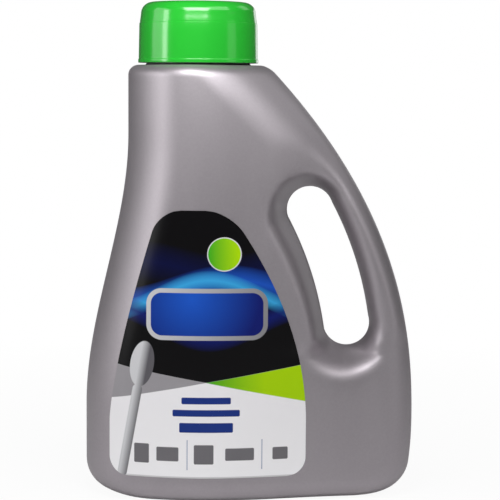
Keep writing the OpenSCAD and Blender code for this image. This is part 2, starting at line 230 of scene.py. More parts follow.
def outline(inset, density):  # the body seen from the front, from the foot of the sloping side upwards
    low = lowZ(inset)
    high = bodyForm["height"] - inset
    lowCorner = bodyForm["lowCorner"] - inset
    leftCorner = bodyForm["leftCorner"] - inset
    rightCorner = bodyForm["rightCorner"] - inset
    turn = bodyForm["shoulderCornerSteps"] * density
    foot = [low] + [low + q for q in quarter(lowCorner, bodyForm["cornerSteps"] * density)]
    rightZs = foot + steps(low + lowCorner, high - rightCorner, bodyForm["slopeSteps"] * density)
    rightZs += [high - rightCorner + rightCorner * math.sin(math.pi / 2 * i / turn) for i in range(turn)]
    leftZs = foot + steps(low + lowCorner, high - leftCorner, bodyForm["leftSteps"] * density)
    leftZs += [high - leftCorner + leftCorner * math.sin(math.pi / 2 * i / turn) for i in range(turn)]
    shoulderSteps, baseSteps = bodyForm["shoulderSteps"] * density, bodyForm["baseSteps"] * density
    points = [(rightX(z, inset), z) for z in rightZs]
    points += [(x, high) for x in steps(rightX(high, inset), leftX(high, inset), shoulderSteps)]
    points += [(leftX(high, inset), high)]
    points += [(leftX(z, inset), z) for z in leftZs[:0:-1]]
    points += [(x, low) for x in steps(leftX(low, inset), rightX(low, inset), baseSteps)]
    return [Vector(p) for p in points]


def stationShares(length):  # shares of the way from the outline to the slot, close where the skin turns
    outerCount, slotCount = bodyForm["outerStations"], bodyForm["slotStations"]
    turnAt, turnShare = bodyForm["turnAt"], bodyForm["turnShare"]
    outer = [0.5 * (i / outerCount) ** bodyForm["outerPower"] for i in range(1, outerCount + 1)]
    wide = smooth((length - bodyForm["narrow"]) / bodyForm["narrowSpan"])
    inner = []
    for i in range(slotCount):
        share = (i + 1) / (slotCount + 1)
        if share < turnAt:
            onBody = turnShare * (share / turnAt) ** bodyForm["nearPower"]
        else:
            onBody = mix(turnShare, 1.0, ((share - turnAt) / (1 - turnAt)) ** bodyForm["farPower"])
        onGrip = 1 - math.cos(math.pi / 2 * share)
        inner.append(1 - 0.5 * mix(onGrip, onBody, wide))
    return outer + inner[::-1]


def skinLine(out, inset, seam):  # one line of points from the outline over the front to the slot
    foot = slotFoot(out)
    direction = (out - foot).normalized()
    edge = foot + direction * (handleForm["slotWidth"] / 2 + inset)
    length = (out - edge).length
    line = []
    if seam:
        line.append((out, bodyForm["seamHalf"]))
        line.append((out - direction * bodyForm["seamOut"], bodyForm["seamFoot"]))
    else:
        line.append((out, bodyForm["innerEdge"]))
    least = bodyForm["seamFoot"] + bodyForm["seamRise"]
    for share in stationShares(length):
        point = out.lerp(edge, share)
        line.append((point, max(least, skinHalfDepth(point, inset))))
    if seam:
        line.append((edge, bodyForm["seamFoot"]))
        line.append((edge - direction * bodyForm["seamOut"], bodyForm["seamHalf"]))
    else:
        line.append((edge, bodyForm["innerEdge"]))
    front = [Vector((p.x, -y, p.y)) for p, y in line]
    back = [Vector((p.x, y, p.y)) for p, y in line]
    return front + back[::-1]


def skinMesh(inset, density, seam):  # loops are extruded one after another, round the section
    lines = [skinLine(out, inset, seam) for out in outline(inset, density)]
    count = len(lines)
    bm = bmesh.new()
    loop = [bm.verts.new(line[0] * mm) for line in lines]
    edges = [bm.edges.new((loop[i], loop[(i + 1) % count])) for i in range(count)]
    for k in range(1, len(lines[0]) + 1):
        grown = bmesh.ops.extrude_edge_only(bm, edges=edges)["geom"]
        number = {v: i for i, v in enumerate(loop)}
        newVerts = [g for g in grown if isinstance(g, bmesh.types.BMVert)]
        edges = [g for g in grown if isinstance(g, bmesh.types.BMEdge)
                 and g.verts[0] not in number and g.verts[1] not in number]
        newLoop = [None] * count
        for v in newVerts:
            partner = next(e.other_vert(v) for e in v.link_edges if e.other_vert(v) in number)
            i = number[partner]
            v.co = lines[i][k % len(lines[0])] * mm
            newLoop[i] = v
        loop = newLoop
    bmesh.ops.remove_doubles(bm, verts=bm.verts, dist=bodyForm["mergeWithin"] * mm)
    bmesh.ops.recalc_face_normals(bm, faces=bm.faces)
    return bm


def cutBase(bm, inset):  # the flat base: a foot ring, then a soft slope up to the push-up
    geometry = list(bm.verts) + list(bm.edges) + list(bm.faces)
    cut = bmesh.ops.bisect_plane(bm, geom=geometry, dist=bodyForm["cutWithin"] * mm,
                                 plane_co=(0, 0, inset * mm), plane_no=(0, 0, 1), clear_inner=True)
    rim = [g for g in cut["geom_cut"] if isinstance(g, bmesh.types.BMEdge)]
    ring = bodyForm["footRing"] - inset
    slope, count = bodyForm["pushUpSlope"], bodyForm["pushUpSteps"]
    places = [(0.5 * ring, 0), (ring, 0)]
    places += [(ring + slope * i / count, smooth(i / count)) for i in range(1, count + 1)]
    leftEnd, rightEnd = [share * halfWidth * mm for share in bodyForm["pushUpEnds"]]
    reached, risen = 0.0, 0.0
    for inward, rise in places:
        grown = bmesh.ops.extrude_edge_only(bm, edges=rim)["geom"]
        verts = {g for g in grown if isinstance(g, bmesh.types.BMVert)}
        rim = [g for g in grown if isinstance(g, bmesh.types.BMEdge)
               and g.verts[0] in verts and g.verts[1] in verts]
        for v in verts:
            middle = Vector((max(leftEnd, min(rightEnd, v.co.x)), 0, v.co.z))
            way = middle - v.co
            v.co += way.normalized() * min((inward - reached) * mm, 0.5 * way.length)
            v.co.z += (rise - risen) * bodyForm["pushUp"] * mm
        reached, risen = inward, rise
    bmesh.ops.edgeloop_fill(bm, edges=rim)
    bmesh.ops.recalc_face_normals(bm, faces=bm.faces)


def spun(profile, count):  # a closed solid of revolution round the neck's axis, from (radius, z) points
    bm = bmesh.new()
    verts = [bm.verts.new(((neckX + r) * mm, 0, z * mm)) for r, z in profile]
    edges = [bm.edges.new((a, b)) for a, b in zip(verts, verts[1:])]
    bmesh.ops.spin(bm, geom=verts + edges, cent=(neckX * mm, 0, 0), axis=(0, 0, 1),
                   angle=2 * math.pi, steps=count, use_merge=True)
    bmesh.ops.remove_doubles(bm, verts=bm.verts, dist=neckForm["mergeWithin"] * mm)
    bmesh.ops.recalc_face_normals(bm, faces=bm.faces)
    return bm


def arc(r, z, radius, start, end, count):
    turns = [math.radians(mix(start, end, i / count)) for i in range(count + 1)]
    return [(r + radius * math.cos(t), z + radius * math.sin(t)) for t in turns]


def threadMesh(radius, reach, startZ):  # a helical ridge, thinned out at both ends
    bm = bmesh.new()
    root = neckForm["threadWidth"]
    crest, shoulder = root * neckForm["threadCrest"], root * neckForm["threadShoulder"]
    sink = -neckForm["threadSink"] if reach > 0 else neckForm["threadSink"]
    bend = radius + neckForm["threadShoulderReach"] * reach
    section = [(radius + sink, -root / 2), (bend, -shoulder), (radius + reach, -crest),
               (radius + reach, crest), (bend, shoulder), (radius + sink, root / 2)]
    verts = [bm.verts.new(((neckX + r) * mm, 0, (startZ + z) * mm)) for r, z in section]
    edges = [bm.edges.new((verts[i], verts[(i + 1) % len(verts)])) for i in range(len(verts))]
    perTurn = neckForm["threadStepsPerTurn"]
    count = round(perTurn * neckForm["turns"])
    bmesh.ops.spin(bm, geom=verts + edges, cent=(neckX * mm, 0, 0), axis=(0, 0, 1),
                   dvec=(0, 0, neckForm["pitch"] / perTurn * mm), angle=2 * math.pi * neckForm["turns"],
                   steps=count, use_merge=False)
    bmesh.ops.holes_fill(bm, edges=[e for e in bm.edges if e.is_boundary], sides=0)
    for v in bm.verts:
        local = v.co / mm
        outward = math.hypot(local.x - neckX, local.y)
        turned = math.atan2(local.y, local.x - neckX) % (2 * math.pi)
        rise = local.z - startZ
        turns = round((rise / neckForm["pitch"]) - turned / (2 * math.pi)) + turned / (2 * math.pi)
        ends = min(turns, neckForm["turns"] - turns) * perTurn
        share = mix(neckForm["threadEnd"], 1.0, smooth(ends / neckForm["threadFadeSteps"]))
        if abs(outward - radius) > 2 * neckForm["threadSink"]:  # all but the root, which is in the wall
            keep = (radius + (outward - radius) * share) / outward
            v.co.x = (neckX + (local.x - neckX) * keep) * mm
            v.co.y = local.y * keep * mm
    bmesh.ops.recalc_face_normals(bm, faces=bm.faces)
    return bm


def meshObject(name, bm, smoothAngle=40):
    mesh = bpy.data.meshes.new(name)
    bm.to_mesh(mesh)
    bm.free()
    piece = bpy.data.objects.new(name, mesh)
    bpy.context.scene.collection.objects.link(piece)
    mesh.shade_smooth()
    if smoothAngle:
        mesh.set_sharp_from_angle(angle=math.radians(smoothAngle))
    return piece


def carve(piece, tool, operation):  # one boolean, applied, and its tool removed
    step = piece.modifiers.new("carve", "BOOLEAN")
    step.operation = operation
    step.solver = "EXACT"
    step.object = tool
    graph = bpy.context.evaluated_depsgraph_get()
    result = bpy.data.meshes.new_from_object(piece.evaluated_get(graph))
    piece.modifiers.clear()
    piece.data = result
    bpy.data.objects.remove(tool)


def joinInto(piece, bm):
    whole = bmesh.new()
    whole.from_mesh(piece.data)
    extra = bpy.data.meshes.new("extra")
    bm.to_mesh(extra)
    bm.free()
    whole.from_mesh(extra)
    whole.to_mesh(piece.data)
    whole.free()
    bpy.data.meshes.remove(extra)


def makeBottle():
    density = bodyForm["linesPerStep"]
    outer = skinMesh(0, density, True)
    cutBase(outer, 0)
    bottle = meshObject("bottle_body", outer)
    wall = bodyForm["wall"]
    inner = skinMesh(wall, max(2, density // 2), False)
    cutBase(inner, wall)
    inside = meshObject("inside", inner)
    radius = neckForm["radius"]
    rim = neckForm["rim"]
    edge = neckForm["rimRound"]
    foot = neckForm["footRound"]
    shoulder = bodyForm["height"]
    buried = shoulder - bodyForm["shoulderRound"]
    profile = [(0, buried), (radius, buried), (radius, shoulder - neckForm["skirtLow"]),
               (radius + foot + neckForm["skirtOut"], shoulder - neckForm["skirtHigh"])]
    profile += arc(radius + foot, shoulder + foot - neckForm["footSink"], foot, 270, 180, 5)
    profile += arc(radius - edge, rim - edge, edge, 0, 90, 4) + [(0, rim)]
    neck = meshObject("neck", spun(profile, neckForm["steps"]))
    carve(bottle, neck, "UNION")
    carve(bottle, inside, "DIFFERENCE")
    bore = radius - neckForm["wall"]
    boreLow = buried - neckForm["boreStart"]
    boreProfile = [(0, boreLow), (bore, boreLow), (bore, rim - edge)]
    boreProfile += arc(bore + edge, rim - edge, edge, 180, 90, 4)[1:] + [(bore + edge, rim + 1), (0, rim + 1)]
    carve(bottle, meshObject("bore", spun(boreProfile, neckForm["steps"])), "DIFFERENCE")
    joinInto(bottle, threadMesh(radius, neckForm["threadDepth"], shoulder + neckForm["threadStart"]))
    bottle.data.shade_smooth()
    bottle.data.set_sharp_from_angle(angle=math.radians(40))
    return bottle


def makeCap():
    bottom = bodyForm["height"] + capForm["gap"]
    band = capForm["radius"]
    wall = band - capForm["bandOut"]
    crease = wall - capForm["plainDraft"]
    upper = crease - capForm["creaseIn"]
    inner = capForm["innerRadius"]
    height = capForm["height"]
    topRound = capForm["topRound"]
    plain, bandTop = capForm["plainHeight"], capForm["bandHeight"]
    crown = capForm["crown"]
    flat = upper - capForm["topIn"] - topRound
    footRound, mouthRound, bandRound = capForm["footRound"], capForm["mouthRound"], capForm["bandRound"]
    linerRadius = neckForm["radius"] - linerForm["inset"] + linerForm["gap"]
    innerTop = height - capForm["topWall"]
    threadTop = neckForm["threadStart"] + neckForm["pitch"] * neckForm["turns"] + neckForm["threadWidth"] / 2
    profile = [(0, height)] + [(r, height - crown * (r / flat) ** 2) for r in capForm["crownStations"]]
    profile += arc(flat, height - topRound - crown, topRound, 90, 0, 12)
    profile += [(upper + out, plain + rise) for out, rise in capForm["upperPlaces"]]
    profile += [(crease + out, plain + rise) for out, rise in capForm["creasePlaces"]]
    plainFoot = plain + capForm["creasePlaces"][-1][1]
    profile += [(mix(wall, crease, t), mix(bandTop + capForm["bandStart"], plainFoot, t))
                for t in capForm["wallStations"]]
    profile += [(wall + out, bandTop + rise) for out, rise in capForm["bandPlaces"]]
    profile += arc(band - bandRound, bandTop - capForm["bandDrop"], bandRound, 80, 0, 3)
    profile += arc(band - footRound, footRound, footRound, 0, -90, 4)
    profile += arc(inner + mouthRound, mouthRound, mouthRound, 270, 180, 4)
    profile += [(inner, capForm["innerStation"]), (inner, threadTop + capForm["threadClear"] - capForm["gap"])]
    profile += [(linerRadius + capForm["seatOut"], innerTop - linerForm["thickness"] - capForm["seatDrop"]),
                (linerRadius, innerTop), (0, innerTop)]
    raised = [(r, z + bottom) for r, z in profile]
    cap = meshObject("screw_cap", spun(raised, capForm["steps"]), capForm["sharpAngle"])
    startZ = bodyForm["height"] + neckForm["threadStart"] - neckForm["pitch"] / 2
    joinInto(cap, threadMesh(inner, -neckForm["threadDepth"], startZ))
    cap.data.shade_smooth()
    cap.data.set_sharp_from_angle(angle=math.radians(capForm["sharpAngle"]))
    return cap


def makeLiner():
    top = bodyForm["height"] + capForm["gap"] + capForm["height"] - capForm["topWall"] - linerForm["gap"] / 4
    low = top - linerForm["thickness"]
    radius = neckForm["radius"] - linerForm["inset"]
    rim = neckForm["radius"] - neckForm["wall"]
    edge = linerForm["edge"]
    profile = [(0, top)] + arc(radius - edge, top - edge, edge, 90, 0, 3)
    profile += arc(radius - edge, low + edge, edge, 0, -90, 3)
    profile += [(rim + out, low + rise) for out, rise in linerForm["press"]] + [(0, low)]
    return meshObject("foam_liner", spun(profile, linerForm["steps"]), linerForm["sharpAngle"])


labelLeft = -halfWidth + labelForm["leftIn"]


def labelSides(z):
    span = labelForm["high"] - labelForm["leanStart"]
    up = unit((z - labelForm["leanStart"]) / span)
    corner = cornerIn(labelForm["lowCorner"], z - labelForm["low"])
    corner += cornerIn(labelForm["highCorner"], labelForm["high"] - z)
    left = labelLeft + labelForm["leftLean"] * up ** labelForm["leftPower"] + corner
    right = labelLeft + labelForm["width"] - labelForm["rightLean"] * up ** labelForm["rightPower"] - corner
    return left, right


def makeLabel():
    bm = bmesh.new()
    bmesh.ops.create_grid(bm, x_segments=labelForm["columns"], y_segments=labelForm["rows"], size=0.5)
    for v in bm.verts:
        share = 0.5 - 0.5 * math.cos(math.pi * unit(v.co.y + 0.5))
        share = mix(v.co.y + 0.5, share, labelForm["crowding"])  # rows closer together at both ends
        z = mix(labelForm["low"], labelForm["high"], share)
        left, right = labelSides(z)
        x = mix(left, right, v.co.x + 0.5)
        v.co = Vector((x, -skinHalfDepth(Vector((x, z)), 0) - labelForm["offset"], z)) * mm
    bmesh.ops.recalc_face_normals(bm, faces=bm.faces)
    if sum(f.normal.y for f in bm.faces) > 0:
        bmesh.ops.reverse_faces(bm, faces=bm.faces)
    bmesh.ops.solidify(bm, geom=list(bm.faces), thickness=-labelForm["thickness"] * mm)
    bmesh.ops.recalc_face_normals(bm, faces=bm.faces)
    return meshObject("label_film", bm, labelForm["sharpAngle"])


def linear(red, green, blue):  # a colour as it is seen on screen, 0 to 255, to linear light
    seen = [c / 255 for c in (red, green, blue)]
    return tuple(c / 12.92 if c <= 10 / 255 else ((c + 0.055) / 1.055) ** 2.4 for c in seen) + (1.0,)


def newMaterial(name):
    material = bpy.data.materials.new(name)
    material.use_nodes = True
    nodes = material.node_tree.nodes
    shader = nodes["Principled BSDF"]
    place = nodes.new("ShaderNodeTexCoord")
    return material, material.node_tree, shader, place.outputs["Object"]


def maths(tree, operation, a, b=None, c=None, clamp=False):
    node = tree.nodes.new("ShaderNodeMath")
    node.operation = operation
    node.use_clamp = clamp
    for i, value in enumerate(v for v in (a, b, c) if v is not None):
        if hasattr(value, "is_linked"):
            tree.links.new(value, node.inputs[i])
        else:
            node.inputs[i].default_value = value
    return node.outputs[0]


def mixColour(tree, mask, a, b):
    node = tree.nodes.new("ShaderNodeMix")
    node.data_type = "RGBA"
    node.clamp_factor = True
    tree.links.new(mask, node.inputs["Factor"])
    for socket, value in ((node.inputs[6], a), (node.inputs[7], b)):
        if hasattr(value, "is_linked"):
            tree.links.new(value, socket)
        else:
            socket.default_value = value
    return node.outputs[2]


def grainGroup():  # two masks from 0 to 1: fine moulded grain, and long upright flow marks
    group = bpy.data.node_groups.new("mouldedGrain", "ShaderNodeTree")
    face = group.interface
    face.new_socket("Place", in_out="INPUT", socket_type="NodeSocketVector")
    face.new_socket("Grain Scale", in_out="INPUT", socket_type="NodeSocketFloat")
    face.new_socket("Flow Scale", in_out="INPUT", socket_type="NodeSocketFloat")
    face.new_socket("Grain", in_out="OUTPUT", socket_type="NodeSocketFloat")
    face.new_socket("Flow", in_out="OUTPUT", socket_type="NodeSocketFloat")
    start = group.nodes.new("NodeGroupInput")
    end = group.nodes.new("NodeGroupOutput")
    fine = group.nodes.new("ShaderNodeTexNoise")
    fine.inputs["Detail"].default_value = 3.0
    fine.inputs["Roughness"].default_value = 0.6
    group.links.new(start.outputs["Place"], fine.inputs["Vector"])
    group.links.new(start.outputs["Grain Scale"], fine.inputs["Scale"])
    stretch = group.nodes.new("ShaderNodeMapping")
    stretch.inputs["Scale"].default_value = (1.0, 1.0, 0.12)
    flow = group.nodes.new("ShaderNodeTexNoise")
    flow.inputs["Detail"].default_value = 4.0
    group.links.new(start.outputs["Place"], stretch.inputs["Vector"])
    group.links.new(stretch.outputs["Vector"], flow.inputs["Vector"])
    group.links.new(start.outputs["Flow Scale"], flow.inputs["Scale"])
    group.links.new(fine.outputs["Fac"], end.inputs["Grain"])
    group.links.new(flow.outputs["Fac"], end.inputs["Flow"])
    return group


grain = grainGroup()


def placeGrain(tree, place, finish):
    node = tree.nodes.new("ShaderNodeGroup")
    node.node_tree = grain
    tree.links.new(place, node.inputs["Place"])
    node.inputs["Grain Scale"].default_value = finish["grainScale"]
    node.inputs["Flow Scale"].default_value = finish["flowScale"]
    return node.outputs["Grain"], node.outputs["Flow"]


def addBump(tree, shader, height, finish):
    bump = tree.nodes.new("ShaderNodeBump")
    bump.inputs["Strength"].default_value = finish["bump"]
    bump.inputs["Distance"].default_value = finish["bumpDepth"]
    tree.links.new(height, bump.inputs["Height"])
    tree.links.new(bump.outputs["Normal"], shader.inputs["Normal"])


bottleFinish = {
    "dark": linear(154, 148, 153), "light": linear(174, 168, 173), "fineShare": 0.5, "flowShare": 0.6,
    "metallic": 0.8, "rough": 0.48, "roughSpread": 0.10,
    "grainScale": 900, "flowScale": 45, "bump": 0.10, "bumpDepth": 0.0003,
}
capFinish = {
    "dark": linear(26, 148, 36), "light": linear(36, 166, 45), "rough": 0.16, "roughSpread": 0.06,
    "coat": 0.3, "coatRough": 0.08, "grainScale": 160, "flowScale": 30, "bump": 0.02, "bumpDepth": 0.0003,
}
linerFinish = {
    "dark": linear(222, 221, 214), "light": linear(240, 240, 236), "rough": 0.7,
    "grainScale": 1400, "flowScale": 60, "bump": 0.4, "bumpDepth": 0.0002,
}


def bottlePlastic():
    material, tree, shader, place = newMaterial("pearl_grey_polyethylene")
    fine, flow = placeGrain(tree, place, bottleFinish)
    tone = maths(tree, "MULTIPLY", fine, bottleFinish["fineShare"])
    tone = maths(tree, "MULTIPLY_ADD", flow, bottleFinish["flowShare"], tone)
    colour = mixColour(tree, tone, bottleFinish["dark"], bottleFinish["light"])
    tree.links.new(colour, shader.inputs["Base Color"])
    spread = bottleFinish["roughSpread"]
    rough = maths(tree, "MULTIPLY_ADD", flow, spread, bottleFinish["rough"] - spread / 2)
    tree.links.new(rough, shader.inputs["Roughness"])
    shader.inputs["Metallic"].default_value = bottleFinish["metallic"]
    addBump(tree, shader, fine, bottleFinish)
    return material


def capPlastic():
    material, tree, shader, place = newMaterial("glossy_green_polypropylene")
    fine, flow = placeGrain(tree, place, capFinish)
    colour = mixColour(tree, flow, capFinish["dark"], capFinish["light"])
    tree.links.new(colour, shader.inputs["Base Color"])
    rough = maths(tree, "MULTIPLY_ADD", flow, capFinish["roughSpread"], capFinish["rough"])
    tree.links.new(rough, shader.inputs["Roughness"])
    shader.inputs["Coat Weight"].default_value = capFinish["coat"]
    shader.inputs["Coat Roughness"].default_value = capFinish["coatRough"]
    addBump(tree, shader, fine, capFinish)
    return material


def linerFoam():
    material, tree, shader, place = newMaterial("white_foam")
    fine = placeGrain(tree, place, linerFinish)[0]
    colour = mixColour(tree, fine, linerFinish["dark"], linerFinish["light"])
    tree.links.new(colour, shader.inputs["Base Color"])
    shader.inputs["Roughness"].default_value = linerFinish["rough"]
    addBump(tree, shader, fine, linerFinish)
    return material


labelPrint = {  # places and sizes in millimetres, as (x, z) seen from the front
    "black": linear(7, 6, 8), "pale": linear(238, 236, 239), "paleFoot": linear(246, 245, 247),
    "grey": linear(152, 149, 153), "lime": linear(166, 210, 4), "green": linear(52, 160, 30),
    "midnight": linear(6, 12, 60), "navy": linear(14, 26, 104), "blue": linear(28, 84, 190),
    "cyan": linear(56, 160, 214), "ink": linear(28, 52, 128), "greyInk": linear(112, 110, 114),
    "silver": linear(206, 206, 209), "silverDark": linear(92, 90, 95), "rule": linear(120, 130, 170),
    "rough": 0.35, "shine": 0.15,
    "apex": (-17.6, 55.6), "greyTop": (-58.7, 62.7), "greyLow": (-61.1, 47.0),
    "limeTop": (23.2, 62.5), "limeLow": (26.0, 46.3), "edgeSoft": 0.2,
    "limeFade": 26.0, "paleTop": 50.0, "paleFade": 40.0, "sweepPower": 0.8,
    "badge": (-17.4, 86.2), "badgeHalf": (27.0, 11.6), "badgeCorner": 7.0, "badgeRim": 2.0,
    "badgeTone": (0.012, 0.45), "badgeSheen": (-24.0, 93.0), "sheenReach": 30.0,  # tones are slope and middle
    "disc": (-9.7, 113.1), "discRadius": 7.6, "discRing": 0.45, "discTone": (0.07, 0.5),
    "rules": (-25.9, 7.4), "ruleLow": 16.0, "ruleHigh": 29.6, "ruleHalf": 0.17,
    "handleFoot": (-55.6, 14.0), "handleHead": (-48.6, 52.0), "handleHalf": 2.2,
    "bowl": (-46.4, 63.5), "bowlHalf": (5.4, 10.4), "bowlLean": 10.0, "spoonTone": (0.22, 0.35),
    "bars": [(-17.5, 47.4, 11.0, 1.5), (-17.5, 41.8, 15.0, 1.5), (-17.5, 35.2, 12.0, 2.2)],
    "blocks": [(-46.6, 23.0, 3.4, 4.4), (-34.8, 23.0, 5.0, 3.2), (-18.5, 23.0, 4.4, 4.4),
               (-2.5, 23.0, 6.4, 2.8), (15.5, 23.0, 3.4, 2.8)],  # x, z, half width and half height
    "barCorner": 0.6, "bottomLine": 12.9, "bottomSoft": 0.3, "bottomShade": 0.35,
}
sweeps = [  # each is a soft band round a wave: height, swing, wave length, start, half width, colour, strength
    {"height": 106.5, "swing": 3.0, "length": 70.0, "start": 8.0, "half": 9.0,
     "colour": "midnight", "strength": 0.8},
    {"height": 96.0, "swing": 6.0, "length": 104.0, "start": -34.0, "half": 6.5,
     "colour": "blue", "strength": 0.85},
    {"height": 93.5, "swing": 8.0, "length": 96.0, "start": -40.0, "half": 4.4,
     "colour": "cyan", "strength": 0.95},
    {"height": 82.0, "swing": 7.0, "length": 88.0, "start": 6.0, "half": 5.5,
     "colour": "navy", "strength": 0.9},
]


def offsetFrom(tree, x, z, centre):  # how far a point lies across from a place, and how far over it
    across = maths(tree, "SUBTRACT", x, centre[0])
    upward = maths(tree, "SUBTRACT", z, centre[1])
    return across, upward


def lengthOf(tree, a, b):
    return maths(tree, "SQRT", maths(tree, "MULTIPLY_ADD", a, a, maths(tree, "MULTIPLY", b, b)))


def within(tree, distance, soft):  # 1 where the distance is below 0
    return maths(tree, "MULTIPLY_ADD", distance, -1 / soft, 0.5, clamp=True)


def boxEdge(tree, offset, half, corner):  # distance from a rounded rectangle's edge, below 0 inside it
    past = []
    for along, reach in zip(offset, half):
        over = maths(tree, "SUBTRACT", maths(tree, "ABSOLUTE", along), reach - corner)
        past.append(maths(tree, "MAXIMUM", over, 0))
    return maths(tree, "SUBTRACT", lengthOf(tree, past[0], past[1]), corner)


def above(tree, x, z, start, end):  # how far a point lies over the line from start to end
    run, rise = end[0] - start[0], end[1] - start[1]
    length = math.hypot(run, rise)
    offset = (rise * start[0] - run * start[1]) / length
    return maths(tree, "MULTIPLY_ADD", z, run / length, maths(tree, "MULTIPLY_ADD", x, -rise / length, offset))


def paintWedges(tree, x, z, colour):
    soft = labelPrint["edgeSoft"]
    apex = labelPrint["apex"]
    left = within(tree, maths(tree, "SUBTRACT", x, apex[0]), soft)
    underBlack = within(tree, above(tree, x, z, labelPrint["greyTop"], apex), soft)
    overPale = within(tree, above(tree, x, z, apex, labelPrint["greyLow"]), soft)
    grey = maths(tree, "MULTIPLY", left, maths(tree, "MULTIPLY", underBlack, overPale))
    underLime = within(tree, above(tree, x, z, apex, labelPrint["limeTop"]), soft)
    limeFoot = within(tree, above(tree, x, z, labelPrint["limeLow"], apex), soft)
    right = maths(tree, "SUBTRACT", 1, left)
    lime = maths(tree, "MULTIPLY", right, maths(tree, "MULTIPLY", underLime, limeFoot))
    fade = labelPrint["limeFade"]
    share = maths(tree, "MULTIPLY_ADD", x, 1 / fade, -apex[0] / fade, clamp=True)
    limeColour = mixColour(tree, share, labelPrint["green"], labelPrint["lime"])
    fade = labelPrint["paleFade"]
    low = maths(tree, "MULTIPLY_ADD", z, -1 / fade, labelPrint["paleTop"] / fade, clamp=True)
    pale = mixColour(tree, low, labelPrint["pale"], labelPrint["paleFoot"])
    bareLeft = maths(tree, "MULTIPLY", left, underBlack)
    bareRight = maths(tree, "MULTIPLY", right, underLime)
    bare = maths(tree, "ADD", bareLeft, bareRight, clamp=True)
    colour = mixColour(tree, bare, colour, pale)
    colour = mixColour(tree, grey, colour, labelPrint["grey"])
    return mixColour(tree, lime, colour, limeColour)


def paintSweeps(tree, x, z, colour):
    for sweep in sweeps:
        pace = 2 * math.pi / sweep["length"]
        turn = maths(tree, "MULTIPLY_ADD", x, pace, -pace * sweep["start"])
        middle = maths(tree, "MULTIPLY_ADD", maths(tree, "SINE", turn), sweep["swing"], sweep["height"])
        off = maths(tree, "ABSOLUTE", maths(tree, "SUBTRACT", z, middle))
        near = maths(tree, "MULTIPLY_ADD", off, -1 / sweep["half"], 1, clamp=True)
        mask = maths(tree, "MULTIPLY", maths(tree, "POWER", near, labelPrint["sweepPower"]), sweep["strength"])
        colour = mixColour(tree, mask, colour, labelPrint[sweep["colour"]])
    return colour


def paintBadge(tree, x, z, colour):  # a blank plate with a rim, and no lettering
    offset = offsetFrom(tree, x, z, labelPrint["badge"])
    edge = boxEdge(tree, offset, labelPrint["badgeHalf"], labelPrint["badgeCorner"])
    rimTone = maths(tree, "MULTIPLY_ADD", offset[0], *labelPrint["badgeTone"], clamp=True)
    rim = mixColour(tree, rimTone, labelPrint["silver"], labelPrint["silverDark"])
    colour = mixColour(tree, within(tree, edge, labelPrint["edgeSoft"]), colour, rim)
    shine, over = offsetFrom(tree, x, z, labelPrint["badgeSheen"])
    away = lengthOf(tree, shine, over)
    sheen = maths(tree, "MULTIPLY_ADD", away, -1 / labelPrint["sheenReach"], 1, clamp=True)
    plate = mixColour(tree, sheen, labelPrint["navy"], labelPrint["blue"])
    inner = maths(tree, "ADD", edge, labelPrint["badgeRim"])
    return mixColour(tree, within(tree, inner, labelPrint["edgeSoft"]), colour, plate)


def paintDisc(tree, x, z, colour):
    across, upward = offsetFrom(tree, x, z, labelPrint["disc"])
    edge = maths(tree, "SUBTRACT", lengthOf(tree, across, upward), labelPrint["discRadius"])
    colour = mixColour(tree, within(tree, edge, labelPrint["edgeSoft"]), colour, labelPrint["silver"])
    share = maths(tree, "MULTIPLY_ADD", across, *labelPrint["discTone"], clamp=True)
    face = mixColour(tree, share, labelPrint["green"], labelPrint["lime"])
    inner = maths(tree, "ADD", edge, labelPrint["discRing"])
    return mixColour(tree, within(tree, inner, labelPrint["edgeSoft"]), colour, face)


def paintSpoon(tree, x, z, colour):  # a plain silver spoon, drawn as a rod and an oval
    foot, head = Vector(labelPrint["handleFoot"]), Vector(labelPrint["handleHead"])
    length = (head - foot).length
    way = (head - foot) / length
    across, upward = offsetFrom(tree, x, z, foot)
    along = maths(tree, "MULTIPLY_ADD", across, way.x, maths(tree, "MULTIPLY", upward, way.y))
    side = maths(tree, "MULTIPLY_ADD", across, way.y, maths(tree, "MULTIPLY", upward, -way.x))
    past = maths(tree, "SUBTRACT", along, maths(tree, "MINIMUM", maths(tree, "MAXIMUM", along, 0), length))
    rod = maths(tree, "SUBTRACT", lengthOf(tree, side, past), labelPrint["handleHalf"])
    turn = math.radians(labelPrint["bowlLean"])
    over, up = offsetFrom(tree, x, z, labelPrint["bowl"])
    halfX, halfZ = labelPrint["bowlHalf"]
    cosine, sine = math.cos(turn), math.sin(turn)
    bowlX = maths(tree, "MULTIPLY_ADD", over, cosine / halfX, maths(tree, "MULTIPLY", up, -sine / halfX))
    bowlZ = maths(tree, "MULTIPLY_ADD", over, sine / halfZ, maths(tree, "MULTIPLY", up, cosine / halfZ))
    bowl = maths(tree, "MULTIPLY_ADD", lengthOf(tree, bowlX, bowlZ), halfX, -halfX)
    shape = maths(tree, "MINIMUM", rod, bowl)
    tone = maths(tree, "MULTIPLY_ADD", maths(tree, "ADD", side, bowlX), *labelPrint["spoonTone"], clamp=True)
    metal = mixColour(tree, tone, labelPrint["silver"], labelPrint["silverDark"])
    return mixColour(tree, within(tree, shape, labelPrint["edgeSoft"]), colour, metal)


def paintBars(tree, x, z, colour, bars, tint):  # plain rounded bars, where a pack has its lines of words
    for barX, barZ, halfX, halfZ in bars:
        offset = offsetFrom(tree, x, z, (barX, barZ))
        edge = boxEdge(tree, offset, (halfX, halfZ), labelPrint["barCorner"])
        colour = mixColour(tree, within(tree, edge, labelPrint["edgeSoft"]), colour, tint)
    return colour


